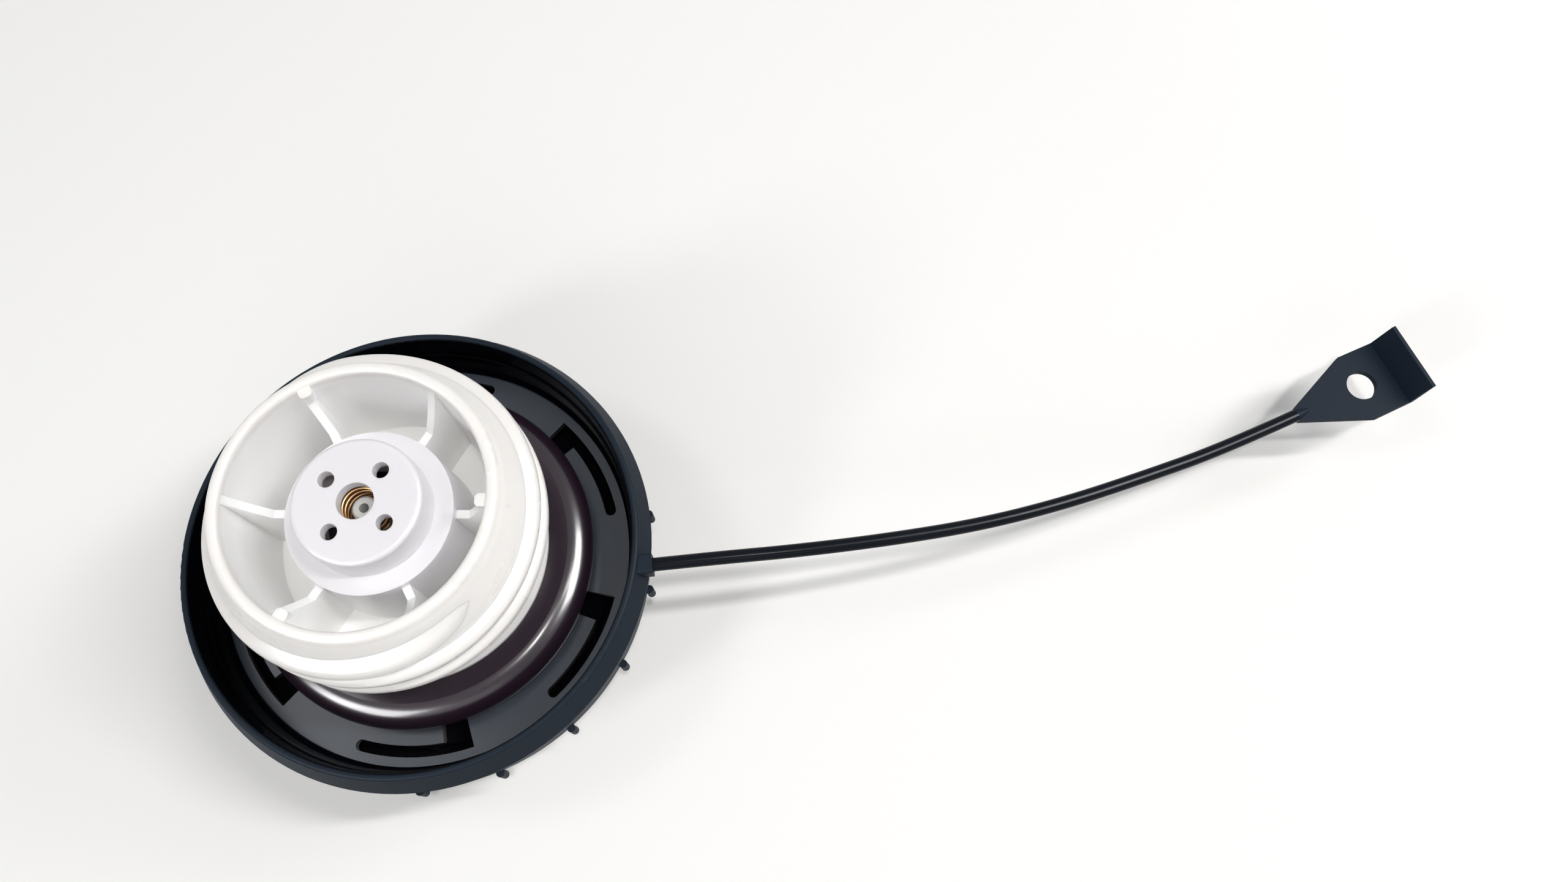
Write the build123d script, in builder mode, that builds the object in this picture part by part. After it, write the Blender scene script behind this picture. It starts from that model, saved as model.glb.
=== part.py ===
"""Fuel filler cap with a tether strap, standing on its grip with the plug up.

The origin is the centre of the grip's flat end and +Z runs up the plug, towards the tank.
The strap leaves the rim along +X. All sizes are in millimetres and degrees.
"""
import os
from math import cos, degrees, radians, sin, tan

from build123d import *

# --- Cover: one moulding of grip, top wall and skirt -------------------------------------------
GRIP_HEIGHT = 13.0          # flat end of the grip to the outside of the top wall
GRIP_LENGTH = 58.0
GRIP_END_WIDTH = 14.4       # widest part, near each end
GRIP_WAIST_WIDTH = 12.4     # pinched middle, for finger and thumb
GRIP_END_RUN = 6.0          # length of each rounded end
GRIP_WALL = 2.2
GRIP_DRAFT = 3.0
GRIP_EDGE_R = 1.8
GRIP_RIB_WALL = 1.5
GRIP_RIB_PITCH = 13.0
TOP_WALL = 2.5
COVER_R = 38.3              # outside of the cover, just above its rounded corner
COVER_CORNER_R = 6.0
SKIRT_FLARE = 1.2           # how much wider the skirt's edge is
SKIRT_LEDGE_R = 33.6        # inside of the skirt below the ledge that carries the torque plate
SKIRT_EDGE_WALL = 3.6       # wall at the skirt's edge, where the tether ring's groove is
GRIP_NUB_COUNT = 18
GRIP_NUB_R = 0.7
GRIP_NUB_PROUD = 1.1
GRIP_NUB_LOW = 3.0          # above the outside of the top wall, on the rounded corner
GRIP_NUB_HIGH = 6.5
GRIP_NUB_FIRST = -3.0       # degrees from the strap
BEAD_PROUD = 0.6            # snap bead that keeps the torque plate down
PILOT_WALL = 1.6
PILOT_HEIGHT = 8.0

# --- Torque ratchet between cover and closer ---------------------------------------------------
PLATE_R = 35.3
PLATE_T = 1.4
PLATE_STANDOFF = 4.3        # cover's floor to the plate's underside
TOOTH_COUNT = 24
TOOTH_R_IN = 27.5
TOOTH_R_OUT = 31.5
TOOTH_PAD = 1.0
TOOTH_HEIGHT = 1.5
TOOTH_LENGTH = 6.2
TOOTH_LAND = 0.6
ARM_COUNT = 6
SLOT_LEG_AT = 48.8          # degrees, centre of the first slot's radial leg
SLOT_LEG_HALF = 4.2         # degrees
SLOT_SWEEP = 30.5           # degrees, centre of the leg to the tip of the curved slot
SLOT_WIDTH = 1.9
PAWL_LENGTH = 3.0
PAWL_SET_BACK = 0.8         # degrees, from the arm's free end
PAWL_INSET = 0.5            # from each side of the arm

# --- Closer: the threaded plug -----------------------------------------------------------------
PLUG_HEIGHT = 38.1          # torque plate's top to the mouth
MOUTH_R = 21.4
MOUTH_WALL = 2.0
ROOT_R = 24.0               # root of the thread
ROOT_Z0 = 17.0              # start of the full root, above the plate
ROOT_Z1 = 29.0              # end of the full root, above the plate
NECK_R = 21.8
NECK_WALL = 2.8
NECK_BEAD = 0.7
BOSS_DRAFT = 0.4            # how much wider the boss is at the well's floor
WELL_DEPTH = 22.8           # mouth to the floor of the ring-shaped well
PLUG_LEAD_IN = 0.22         # slope of the tapered nose just below the mouth
WEB_T = 2.5
BOSS_R = 12.75
BOSS_TIER = 7.9             # mouth down to the boss's shoulder
NOSE_R = 9.75
NOSE_SET_BACK = 1.9         # mouth down to the nose's face
NOSE_WALL = 2.0
NOSE_EDGE_R = 0.8
NOSE_FOOT_R = 1.5
TIER_EDGE_R = 1.2
NOSE_BORE_R = 2.79
VENT_R = 1.25
VENT_PITCH_R = 5.7
VENT_COUNT = 4
VENT_AT = 59.4              # degrees
CHAMBER_R = 10.2
CHAMBER_RISE = 4.5          # cover's floor to the open end of the valve chamber
SEAT_LEDGE = 2.6            # valve chamber's wall in to the nose chamber's
SEAT_DROP = 7.9             # nose chamber's roof down to the seat's ledge
SEAT_INSET = 1.7            # valve chamber's wall in to the seat's ridge
SEAT_RIDGE = 0.6
RIB_COUNT = 6
RIB_T = 1.3
RIB_AT = 4.1                # degrees
RIB_DROP = 1.2              # below the boss's shoulder
RIB_SWEEP_R = 14.9          # where the rib's top begins to sweep up to the mouth
RIB_SWEEP_MID_R = 17.3
RIB_SWEEP_MID_DROP = 5.3    # below the mouth, half way along the sweep
CATCH_AT = (3.4, 123.0, -111.0)   # degrees, small catches on the mouth's inner edge
CATCH_DEPTH = 1.5
CATCH_WIDTH = 2.0
CATCH_HEIGHT = 2.0
KEY_COUNT = 6
KEY_WIDTH = 3.0
KEY_DEPTH = 1.2
HOOK_DEPTH = 1.6
FINGER_WALL = 1.6
FINGER_GAP = 2.4

# --- Gasket ------------------------------------------------------------------------------------
GASKET_R = 29.3
GASKET_HEIGHT = 7.5
GASKET_BASE_R = 27.2
GASKET_BULGE_AT = 0.55      # share of its height where the gasket is widest

# --- Valves ------------------------------------------------------------------------------------
SEAL_T = 0.85
SEAL_HOLE_R = 3.6
VALVE_T = 2.2
GAS_GAP = 0.7               # round the valve, in its chamber
HUB_R = 2.1
HUB_LENGTH = 6.8
PIN_R = 1.2
VACUUM_DISC_R = 4.6
VACUUM_DISC_T = 1.15
STEM_R = 1.9
STEM_HOLE_R = 0.75
STEM_HEIGHT = 5.5
SPRING_INSET = 2.8          # valve chamber's wall in to the middle of the wire
SPRING_WIRE = 0.9
SPRING_TURNS = 5
WIRE_SIDES = 6              # the springs' wire is drawn with flats
VACUUM_SPRING_R = 3.0
VACUUM_SPRING_WIRE = 0.5
VACUUM_SPRING_TURNS = 5
INNER_COVER_FLANGE = 1.6
INNER_COVER_PLUG = 2.5
SPIGOT_HEIGHT = 2.0
SPIGOT_WALL = 1.4

# --- Tether ------------------------------------------------------------------------------------
CUP_DEPTH = 10.8            # lip down to the torque plate's top
RING_HEIGHT = 4.8
RING_LIP_R = 38.0
RING_LIP_WALL = 1.3
TONGUE_T = 0.7
TONGUE_LENGTH = 3.6
TONGUE_BEAD = 0.15
TONGUE_INSET = 1.0          # from the inside of the skirt
RING_STEP = 0.35            # how far the ring's inside stands back from the skirt's
STRAP_D = 2.3
STRAP_STAND = 0.8           # strap's start, outside the ring's base
STRAP_EXIT_Z = 29.6
STRAP_ANGLE = 10.5          # degrees from +X, where the strap leaves its block
STRAP_FIRST_RUN = 8.5
STRAP_LAST_RUN = 15.0
STRAP_BEND_SHARE = 0.45     # of the shorter run that each bend may use
BLOCK_WIDTH = 3.4
BLOCK_HEIGHT = 3.6
TAB_AT = (151.12, 38.25)    # where the strap ends and the tab begins
TAB_LIFT = 17.4             # the stiff strap holds the tab clear of the table
TAB_ANGLE = 28.8
TAB_T = 1.3
TAB_WIDTH = 12.9
TAB_SHOULDER = 12.8         # strap's end to the widest place
TAB_FOLD = 21.0             # strap's end to the fold
TAB_FOLD_WIDTH = 12.7
TAB_HOLE_AT = 13.8
TAB_HOLE_R = 2.7
TAB_CORNER_R = 1.2
FLAP_HEIGHT = 6.5
FLAP_LEAN = 12.0            # degrees, outwards
TAB_NECK = 2.6

# --- Clearances --------------------------------------------------------------------------------
FIT = 0.1                   # pieces fixed to each other
RUN = 0.3                   # pieces that turn or slide past each other
SEAT_GAP = 0.1              # valve faces at rest
RING_RUN = 0.25             # tongue of the tether ring in its groove

# --- Levels ------------------------------------------------------------------------------------
floor_z = GRIP_HEIGHT + TOP_WALL
plate_z = floor_z + PLATE_STANDOFF
plate_top = plate_z + PLATE_T
lip_z = plate_top + CUP_DEPTH
ring_z = lip_z - RING_HEIGHT
skirt_z = ring_z - RING_RUN
mouth_z = plate_top + PLUG_HEIGHT
well_z = mouth_z - WELL_DEPTH
tier_z = mouth_z - BOSS_TIER
nose_z = mouth_z - NOSE_SET_BACK
roof_z = nose_z - NOSE_WALL
seat_z = roof_z - SEAT_DROP
chamber_z = floor_z + CHAMBER_RISE
closer_z = floor_z + 2 * RUN

os.makedirs("parts", exist_ok=True)
finished = []


def finish(builder, name):
    """Label a finished piece and write it to its own file."""
    builder.part.label = name
    export_step(builder.part, f"parts/{name}.step")
    finished.append(builder.part)


def polar(radius, angle):
    """Give the point at a radius and an angle in degrees."""
    return (radius * cos(radians(angle)), radius * sin(radians(angle)))


# --- cover -------------------------------------------------------------------------------------
skirt_edge_r = COVER_R + SKIRT_FLARE
skirt_in_r = skirt_edge_r - SKIRT_EDGE_WALL
plate_groove_r = PLATE_R + RUN
bead_r = plate_groove_r - BEAD_PROUD
wall_foot_r = plate_groove_r - FIT
tongue_in_r = skirt_in_r + TONGUE_INSET
tongue_out_r = tongue_in_r + TONGUE_T
groove_floor_z = skirt_z - TONGUE_LENGTH - RING_RUN
corner_z = GRIP_HEIGHT + COVER_CORNER_R
bead_z = plate_top + RUN
valley_z = floor_z + TOOTH_PAD
tooth_pitch = 360 / TOOTH_COUNT
arm_pitch = 360 / ARM_COUNT
arm_r_in = TOOTH_R_IN
arm_r_out = TOOTH_R_OUT
pawl_at = SLOT_LEG_AT - SLOT_LEG_HALF - PAWL_SET_BACK
tooth_at = pawl_at + degrees(RUN / arm_r_out)

neck_bore_r = NECK_R - NECK_WALL
pilot_r = neck_bore_r - RUN
grip_side = GRIP_END_WIDTH / 2
grip_end_x = GRIP_LENGTH / 2
grip_shoulder_x = grip_end_x - GRIP_END_RUN

# outline of the grip, two pinched flanks and two rounded ends, and that of the hollow inside it
with BuildSketch() as grip_outline:
    with BuildLine():
        ThreePointArc(
            (-grip_shoulder_x, grip_side), (0, GRIP_WAIST_WIDTH / 2), (grip_shoulder_x, grip_side))
        ThreePointArc(
            (grip_shoulder_x, grip_side), (grip_end_x, 0), (grip_shoulder_x, -grip_side))
        ThreePointArc(
            (grip_shoulder_x, -grip_side), (0, -GRIP_WAIST_WIDTH / 2), (-grip_shoulder_x, -grip_side))
        ThreePointArc(
            (-grip_shoulder_x, -grip_side), (-grip_end_x, 0), (-grip_shoulder_x, grip_side))
    make_face()
with BuildSketch() as hollow_outline:
    add(grip_outline.sketch)
    offset(amount=-GRIP_WALL, kind=Kind.INTERSECTION, mode=Mode.REPLACE)

with BuildPart() as cover:
    with BuildSketch(Plane.XZ):
        with BuildLine():
            Polyline((0, GRIP_HEIGHT), (COVER_R - COVER_CORNER_R, GRIP_HEIGHT))
            RadiusArc(
                (COVER_R - COVER_CORNER_R, GRIP_HEIGHT), (COVER_R, corner_z), -COVER_CORNER_R)
            Polyline(
                (COVER_R, corner_z),
                (skirt_edge_r, skirt_z),
                (skirt_in_r, skirt_z),
                (wall_foot_r, bead_z + 2 * BEAD_PROUD),
                (bead_r, bead_z + BEAD_PROUD),
                (plate_groove_r, bead_z),
                (plate_groove_r, plate_z - RUN),
                (SKIRT_LEDGE_R, plate_z - RUN),
                (SKIRT_LEDGE_R, floor_z),
                (0, floor_z),
                (0, GRIP_HEIGHT))
        make_face()
    revolve(axis=Axis.Z)
    # grip bar, drafted towards its flat end
    with BuildSketch(Plane.XY.offset(GRIP_HEIGHT + FIT)):
        add(grip_outline.sketch)
    extrude(amount=-(GRIP_HEIGHT + FIT), taper=GRIP_DRAFT)
    fillet(cover.edges().group_by(Axis.Z)[0], radius=GRIP_EDGE_R)
    # pilot ring that centres the closer, and the pad of the ratchet
    with BuildSketch(Plane.XY.offset(floor_z)):
        Circle(pilot_r)
        Circle(pilot_r - PILOT_WALL, mode=Mode.SUBTRACT)
    extrude(amount=PILOT_HEIGHT)
    with BuildSketch(Plane.XY.offset(floor_z)):
        Circle(TOOTH_R_OUT)
        Circle(TOOTH_R_IN, mode=Mode.SUBTRACT)
    extrude(amount=TOOTH_PAD)
    # sawtooth ring of the ratchet: a square face one way and a ramp the other
    for tooth in range(TOOTH_COUNT):
        radial = Plane(
            origin=(0, 0, valley_z), z_dir=(cos(radians(tooth_at + tooth * tooth_pitch)),
                                            sin(radians(tooth_at + tooth * tooth_pitch)), 0),
            x_dir=(-sin(radians(tooth_at + tooth * tooth_pitch)),
                   cos(radians(tooth_at + tooth * tooth_pitch)), 0))
        with BuildSketch(radial.offset(TOOTH_R_IN + FIT)):
            with BuildLine():
                Polyline(
                    (0, -TOOTH_PAD / 2), (0, TOOTH_HEIGHT), (TOOTH_LAND, TOOTH_HEIGHT),
                    (TOOTH_LENGTH, 0), (TOOTH_LENGTH, -TOOTH_PAD / 2), (0, -TOOTH_PAD / 2))
            make_face()
        extrude(amount=TOOTH_R_OUT - TOOTH_R_IN - 2 * FIT)
    # groove for the tether ring's tongue, undercut at its foot for the snap bead
    with BuildSketch(Plane.XZ):
        with Locations(((tongue_in_r + tongue_out_r) / 2, skirt_z)):
            Rectangle(TONGUE_T + 2 * RING_RUN, 2 * (skirt_z - groove_floor_z))
        with Locations((tongue_out_r + TONGUE_BEAD + RING_RUN, groove_floor_z)):
            Rectangle(
                TONGUE_T + TONGUE_BEAD + RING_RUN, TONGUE_LENGTH / 2, align=(Align.MAX, Align.MIN))
    revolve(axis=Axis.Z, mode=Mode.SUBTRACT)
    # hollow of the grip, open to the inside, with its stiffening ribs
    with BuildSketch(Plane.XY.offset(GRIP_HEIGHT)):
        add(hollow_outline.sketch)
    extrude(amount=-(GRIP_HEIGHT - GRIP_WALL), taper=GRIP_DRAFT, mode=Mode.SUBTRACT)
    with BuildSketch(Plane.XY.offset(GRIP_HEIGHT)):
        add(hollow_outline.sketch)
    extrude(amount=TOP_WALL + PILOT_HEIGHT, mode=Mode.SUBTRACT)
    with BuildSketch(Plane.XY.offset(GRIP_WALL)):
        with GridLocations(GRIP_RIB_PITCH, 0, 3, 1):
            Rectangle(GRIP_RIB_WALL, GRIP_WAIST_WIDTH - GRIP_WALL)
    extrude(amount=GRIP_HEIGHT - 2 * GRIP_WALL)
    # grip nubs round the skirt
    with BuildSketch(Plane.XY.offset(GRIP_HEIGHT + GRIP_NUB_LOW)):
        with PolarLocations(COVER_R + GRIP_NUB_PROUD - GRIP_NUB_R, GRIP_NUB_COUNT, GRIP_NUB_FIRST):
            Circle(GRIP_NUB_R)
    extrude(amount=GRIP_NUB_HIGH - GRIP_NUB_LOW)
finish(cover, "cover")

# --- torque_plate ------------------------------------------------------------------------------
slot_in_r = arm_r_in - SLOT_WIDTH
slot_out_r = arm_r_out + SLOT_WIDTH
leg_low = SLOT_LEG_AT - SLOT_LEG_HALF
leg_high = SLOT_LEG_AT + SLOT_LEG_HALF
slot_tip = SLOT_LEG_AT - SLOT_SWEEP
neck_hole_r = NECK_R + FIT


with BuildSketch() as arm_slot:
    with BuildLine():
        CenterArc((0, 0), slot_out_r, slot_tip, leg_high - slot_tip)
        Line(polar(slot_out_r, leg_high), polar(slot_in_r, leg_high))
        CenterArc((0, 0), slot_in_r, leg_high, slot_tip - leg_high)
        Line(polar(slot_in_r, slot_tip), polar(arm_r_in, slot_tip))
        CenterArc((0, 0), arm_r_in, slot_tip, leg_low - slot_tip)
        Line(polar(arm_r_in, leg_low), polar(arm_r_out, leg_low))
        CenterArc((0, 0), arm_r_out, leg_low, slot_tip - leg_low)
        Line(polar(arm_r_out, slot_tip), polar(slot_out_r, slot_tip))
    make_face()
    slot_corners = arm_slot.vertices()
    slot_tips = slot_corners.sort_by_distance(polar((arm_r_out + slot_out_r) / 2, slot_tip))[:2]
    fillet(slot_tips, radius=0.96 * SLOT_WIDTH / 2)

with BuildPart() as torque_plate:
    with BuildSketch(Plane.XY.offset(plate_z)):
        Circle(PLATE_R)
        Circle(neck_hole_r, mode=Mode.SUBTRACT)
        with PolarLocations(neck_hole_r, KEY_COUNT):
            Rectangle(2 * (KEY_DEPTH + FIT), KEY_WIDTH + 2 * FIT, mode=Mode.SUBTRACT)
        with PolarLocations(0, ARM_COUNT):
            add(arm_slot.sketch, mode=Mode.SUBTRACT)
    extrude(amount=PLATE_T)
    chamfer(
        torque_plate.edges().group_by(Axis.Z)[-1].sort_by(SortBy.LENGTH)[-1], length=PLATE_T / 4)
    # pawl under the free end of each arm, its square face behind a tooth's square face
    for arm in range(ARM_COUNT):
        at = radians(pawl_at + arm * arm_pitch)
        radial = Plane(
            origin=(0, 0, valley_z), z_dir=(cos(at), sin(at), 0), x_dir=(-sin(at), cos(at), 0))
        with BuildSketch(radial.offset(arm_r_in + PAWL_INSET)):
            with BuildLine():
                Polyline(
                    (0, PLATE_STANDOFF - TOOTH_PAD + FIT), (0, RUN), (RUN - PAWL_LENGTH / 2, RUN),
                    (-PAWL_LENGTH, RUN + TOOTH_HEIGHT / 3),
                    (-PAWL_LENGTH, PLATE_STANDOFF - TOOTH_PAD + FIT),
                    (0, PLATE_STANDOFF - TOOTH_PAD + FIT))
            make_face()
        extrude(amount=arm_r_out - arm_r_in - 2 * PAWL_INSET)
finish(torque_plate, "torque_plate")

# --- closer ------------------------------------------------------------------------------------
neck_top_z = plate_top + ROOT_Z0 - (ROOT_R - NECK_R)
bead_low_z = plate_top + GASKET_HEIGHT + FIT
well_r = MOUTH_R - MOUTH_WALL
rim_r = MOUTH_WALL / 2
finger_in_r = NECK_R - FINGER_WALL
hook_r = NECK_R + HOOK_DEPTH
hook_top_z = plate_z - FIT
web_low_z = well_z - WEB_T
nose_chamber_r = CHAMBER_R - SEAT_LEDGE
seat_r = CHAMBER_R - SEAT_INSET
boss_foot_r = BOSS_R + BOSS_DRAFT
rib_in_r = (CHAMBER_R + BOSS_R) / 2
rib_out_r = (well_r + MOUTH_R) / 2
rib_z = tier_z - RIB_DROP

with BuildPart() as closer:
    # outer wall: mouth, tapered nose, thread root, neck, snap hooks and the web that carries the boss
    with BuildSketch(Plane.XZ) as wall_section:
        with BuildLine():
            Polyline(
                (CHAMBER_R, well_z), (neck_bore_r, well_z), (well_r, mouth_z - rim_r))
            Spline(
                (well_r, mouth_z - rim_r), (well_r + rim_r, mouth_z), (MOUTH_R, mouth_z - rim_r),
                tangents=((0, 1), (PLUG_LEAD_IN, -1)))
            Spline(
                (MOUTH_R, mouth_z - rim_r), (ROOT_R, plate_top + ROOT_Z1),
                tangents=((PLUG_LEAD_IN, -1), (0, -1)))
            Polyline(
                (ROOT_R, plate_top + ROOT_Z1),
                (ROOT_R, plate_top + ROOT_Z0),
                (NECK_R, neck_top_z),
                (NECK_R, bead_low_z + 2 * NECK_BEAD),
                (NECK_R + NECK_BEAD, bead_low_z + NECK_BEAD),
                (NECK_R + NECK_BEAD, bead_low_z),
                (NECK_R, bead_low_z),
                (NECK_R, hook_top_z),
                (hook_r, hook_top_z),
                (hook_r, hook_top_z - HOOK_DEPTH / 2),
                (NECK_R, closer_z),
                (finger_in_r, closer_z),
                (finger_in_r, plate_z),
                (neck_bore_r, plate_top + RUN),
                (neck_bore_r, web_low_z),
                (CHAMBER_R, web_low_z),
                (CHAMBER_R, well_z))
        make_face()
    revolve(axis=Axis.Z)
    # boss that stands in the well: shoulder, nose, valve chamber and the valve's seat
    with BuildSketch(Plane.XZ) as boss_section:
        with BuildLine():
            Polyline(
                (0, nose_z), (NOSE_R, nose_z), (NOSE_R + FIT, tier_z), (BOSS_R, tier_z),
                (boss_foot_r, well_z), (boss_foot_r, chamber_z), (CHAMBER_R, chamber_z),
                (CHAMBER_R, seat_z), (nose_chamber_r, seat_z), (nose_chamber_r, roof_z),
                (0, roof_z), (0, nose_z))
        make_face()
        corners = boss_section.vertices()
        fillet(corners.filter_by_position(Axis.Y, nose_z, nose_z).sort_by(Axis.X)[-1], radius=NOSE_EDGE_R)
        fillet(corners.filter_by_position(Axis.Y, tier_z, tier_z).sort_by(Axis.X)[0], radius=NOSE_FOOT_R)
        fillet(corners.filter_by_position(Axis.Y, tier_z, tier_z).sort_by(Axis.X)[-1], radius=TIER_EDGE_R)
    revolve(axis=Axis.Z)
    with BuildSketch(Plane.XY.offset(seat_z)):
        Circle(seat_r + SEAT_RIDGE / 2)
        Circle(seat_r - SEAT_RIDGE / 2, mode=Mode.SUBTRACT)
    extrude(amount=-SEAT_RIDGE)
    # ribs between the boss and the wall
    for rib in range(RIB_COUNT):
        along = (*polar(1, RIB_AT + rib * 360 / RIB_COUNT), 0)
        across = (*polar(1, RIB_AT + rib * 360 / RIB_COUNT - 90), 0)
        with BuildSketch(Plane(origin=(0, 0, 0), x_dir=along, z_dir=across)):
            with BuildLine():
                Polyline(
                    (RIB_SWEEP_R, rib_z), (rib_in_r, rib_z), (rib_in_r, well_z - FIT),
                    (rib_out_r, well_z - FIT), (rib_out_r, mouth_z - rim_r), (well_r, mouth_z - rim_r))
                ThreePointArc(
                    (well_r, mouth_z - rim_r), (RIB_SWEEP_MID_R, mouth_z - RIB_SWEEP_MID_DROP),
                    (RIB_SWEEP_R, rib_z))
            make_face()
        extrude(amount=RIB_T / 2, both=True)
    # catches on the inside of the mouth
    for angle in CATCH_AT:
        with BuildSketch(Plane.XY.offset(mouth_z - rim_r / 2)):
            with Locations(polar(well_r - CATCH_DEPTH / 2 + rim_r / 4, angle)):
                RectangleRounded(
                    CATCH_DEPTH + rim_r / 2, CATCH_WIDTH, CATCH_WIDTH / 3, rotation=angle)
        extrude(amount=-CATCH_HEIGHT)
    # bore and vents of the nose
    with BuildSketch(Plane.XY.offset(nose_z)):
        Circle(NOSE_BORE_R)
        with PolarLocations(VENT_PITCH_R, VENT_COUNT, VENT_AT):
            Circle(VENT_R)
    extrude(amount=-NOSE_WALL, mode=Mode.SUBTRACT)
    # gaps that free the snap fingers, and keys that turn the torque plate
    with BuildSketch(Plane.XY.offset(closer_z)):
        with PolarLocations(NECK_R, KEY_COUNT, 180 / KEY_COUNT):
            Rectangle(4 * HOOK_DEPTH, FINGER_GAP)
    extrude(amount=plate_z - closer_z, mode=Mode.SUBTRACT)
    with BuildSketch(Plane.XY.offset(plate_z)):
        with PolarLocations(NECK_R, KEY_COUNT):
            Rectangle(2 * KEY_DEPTH, KEY_WIDTH)
        Circle(NECK_R - FINGER_WALL / 2, mode=Mode.SUBTRACT)
    extrude(amount=PLATE_T)
finish(closer, "closer")

# --- gasket ------------------------------------------------------------------------------------
gasket_in_r = NECK_R + FIT
gasket_top_z = plate_top + GASKET_HEIGHT
gasket_mid_z = plate_top + GASKET_BULGE_AT * GASKET_HEIGHT
gasket_crown_r = (gasket_in_r + GASKET_R) / 2

with BuildPart() as gasket:
    with BuildSketch(Plane.XZ):
        with BuildLine():
            Line((gasket_in_r, plate_top), (GASKET_BASE_R, plate_top))
            ThreePointArc(
                (GASKET_BASE_R, plate_top), (GASKET_R, gasket_mid_z),
                (gasket_crown_r, gasket_top_z))
            Polyline(
                (gasket_crown_r, gasket_top_z), (gasket_in_r, gasket_top_z), (gasket_in_r, plate_top))
        make_face()
    revolve(axis=Axis.Z)
finish(gasket, "gasket")

# --- inner_cover -------------------------------------------------------------------------------
cover_disc_z = chamber_z - INNER_COVER_FLANGE
spigot_z = chamber_z + INNER_COVER_PLUG
spring_r = CHAMBER_R - SPRING_INSET
spigot_r = spring_r - SPRING_WIRE / 2 - FIT

with BuildPart() as inner_cover:
    with BuildSketch(Plane.XY.offset(cover_disc_z)):
        Circle(boss_foot_r)
    extrude(amount=INNER_COVER_FLANGE)
    with BuildSketch(Plane.XY.offset(chamber_z)):
        Circle(CHAMBER_R - FIT)
    extrude(amount=INNER_COVER_PLUG)
    with BuildSketch(Plane.XY.offset(spigot_z)):
        Circle(spigot_r)
        Circle(spigot_r - SPIGOT_WALL, mode=Mode.SUBTRACT)
    extrude(amount=SPIGOT_HEIGHT)
    chamfer(inner_cover.edges().group_by(Axis.Z)[0], length=BOSS_DRAFT)
    with BuildSketch(Plane.XY.offset(cover_disc_z)):
        with PolarLocations(spigot_r / 2, VENT_COUNT):
            Circle(VENT_R)
    extrude(amount=INNER_COVER_FLANGE + INNER_COVER_PLUG, mode=Mode.SUBTRACT)
finish(inner_cover, "inner_cover")

# --- pressure_valve ----------------------------------------------------------------------------
seal_top_z = seat_z - SEAT_RIDGE - SEAT_GAP
seal_z = seal_top_z - SEAL_T
valve_z = seal_z - VALVE_T
seal_r = CHAMBER_R - GAS_GAP - RUN
valve_r = seal_r + RUN
pin_hole_r = PIN_R + FIT
bleed_at = (HUB_R + SEAL_HOLE_R) / 2

with BuildPart() as pressure_valve:
    with BuildSketch(Plane.XY.offset(valve_z)):
        Circle(valve_r)
        with PolarLocations(valve_r, VENT_COUNT, 180 / VENT_COUNT):
            Rectangle(2 * (CHAMBER_R - RUN - valve_r), STEM_R)
    extrude(amount=VALVE_T)
    with BuildSketch(Plane.XY.offset(seal_z)):
        Circle(valve_r)
        Circle(seal_r + FIT / 2, mode=Mode.SUBTRACT)
    extrude(amount=SEAL_T / 2)
    with BuildSketch(Plane.XY.offset(valve_z)):
        Circle(HUB_R)
    extrude(amount=-HUB_LENGTH)
    with BuildSketch(Plane.XY.offset(valve_z)):
        Circle(spigot_r)
        Circle(spigot_r - SPIGOT_WALL / 2, mode=Mode.SUBTRACT)
    extrude(amount=-SPIGOT_HEIGHT)
    with BuildSketch(Plane.XY.offset(seal_z)):
        Circle(pin_hole_r)
    extrude(amount=-(VALVE_T + HUB_LENGTH), mode=Mode.SUBTRACT)
    with BuildSketch(Plane.XY.offset(seal_z)):
        with PolarLocations(bleed_at, VENT_COUNT):
            Circle((SEAL_HOLE_R - HUB_R) / 2 - FIT)
    extrude(amount=-VALVE_T, mode=Mode.SUBTRACT)
finish(pressure_valve, "pressure_valve")

# --- valve_seal --------------------------------------------------------------------------------
with BuildPart() as valve_seal:
    with BuildSketch(Plane.XY.offset(seal_z)):
        Circle(seal_r)
        Circle(SEAL_HOLE_R, mode=Mode.SUBTRACT)
    extrude(amount=SEAL_T)
finish(valve_seal, "valve_seal")

# --- vacuum_valve ------------------------------------------------------------------------------
disc_z = seal_top_z + SEAT_GAP
stem_z = disc_z + VACUUM_DISC_T

with BuildPart() as vacuum_valve:
    with BuildSketch(Plane.XY.offset(disc_z)):
        Circle(VACUUM_DISC_R)
    extrude(amount=VACUUM_DISC_T)
    with BuildSketch(Plane.XY.offset(disc_z)):
        Circle(PIN_R)
    extrude(amount=-(SEAL_T + VALVE_T + HUB_LENGTH / 2))
    chamfer(vacuum_valve.edges().group_by(Axis.Z)[0], length=PIN_R / 3)
    with BuildSketch(Plane.XY.offset(stem_z)):
        Circle(STEM_R)
        Circle(STEM_HOLE_R, mode=Mode.SUBTRACT)
    extrude(amount=STEM_HEIGHT)
    chamfer(
        vacuum_valve.edges().group_by(Axis.Z)[-1].sort_by(SortBy.LENGTH)[-1], length=STEM_R / 6)
finish(vacuum_valve, "vacuum_valve")


# --- pressure_spring ---------------------------------------------------------------------------
spring_low = spigot_z + SPRING_WIRE / 2 + FIT
spring_rise = valve_z - spigot_z - SPRING_WIRE - 2 * FIT

with BuildPart() as pressure_spring:
    with BuildLine() as coil:
        Helix(spring_rise / SPRING_TURNS, spring_rise, spring_r, center=(0, 0, spring_low))
    with BuildSketch(Plane(origin=coil.line @ 0, z_dir=coil.line % 0)):
        RegularPolygon(SPRING_WIRE / 2, WIRE_SIDES)
    sweep(is_frenet=True)
finish(pressure_spring, "pressure_spring")

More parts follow.
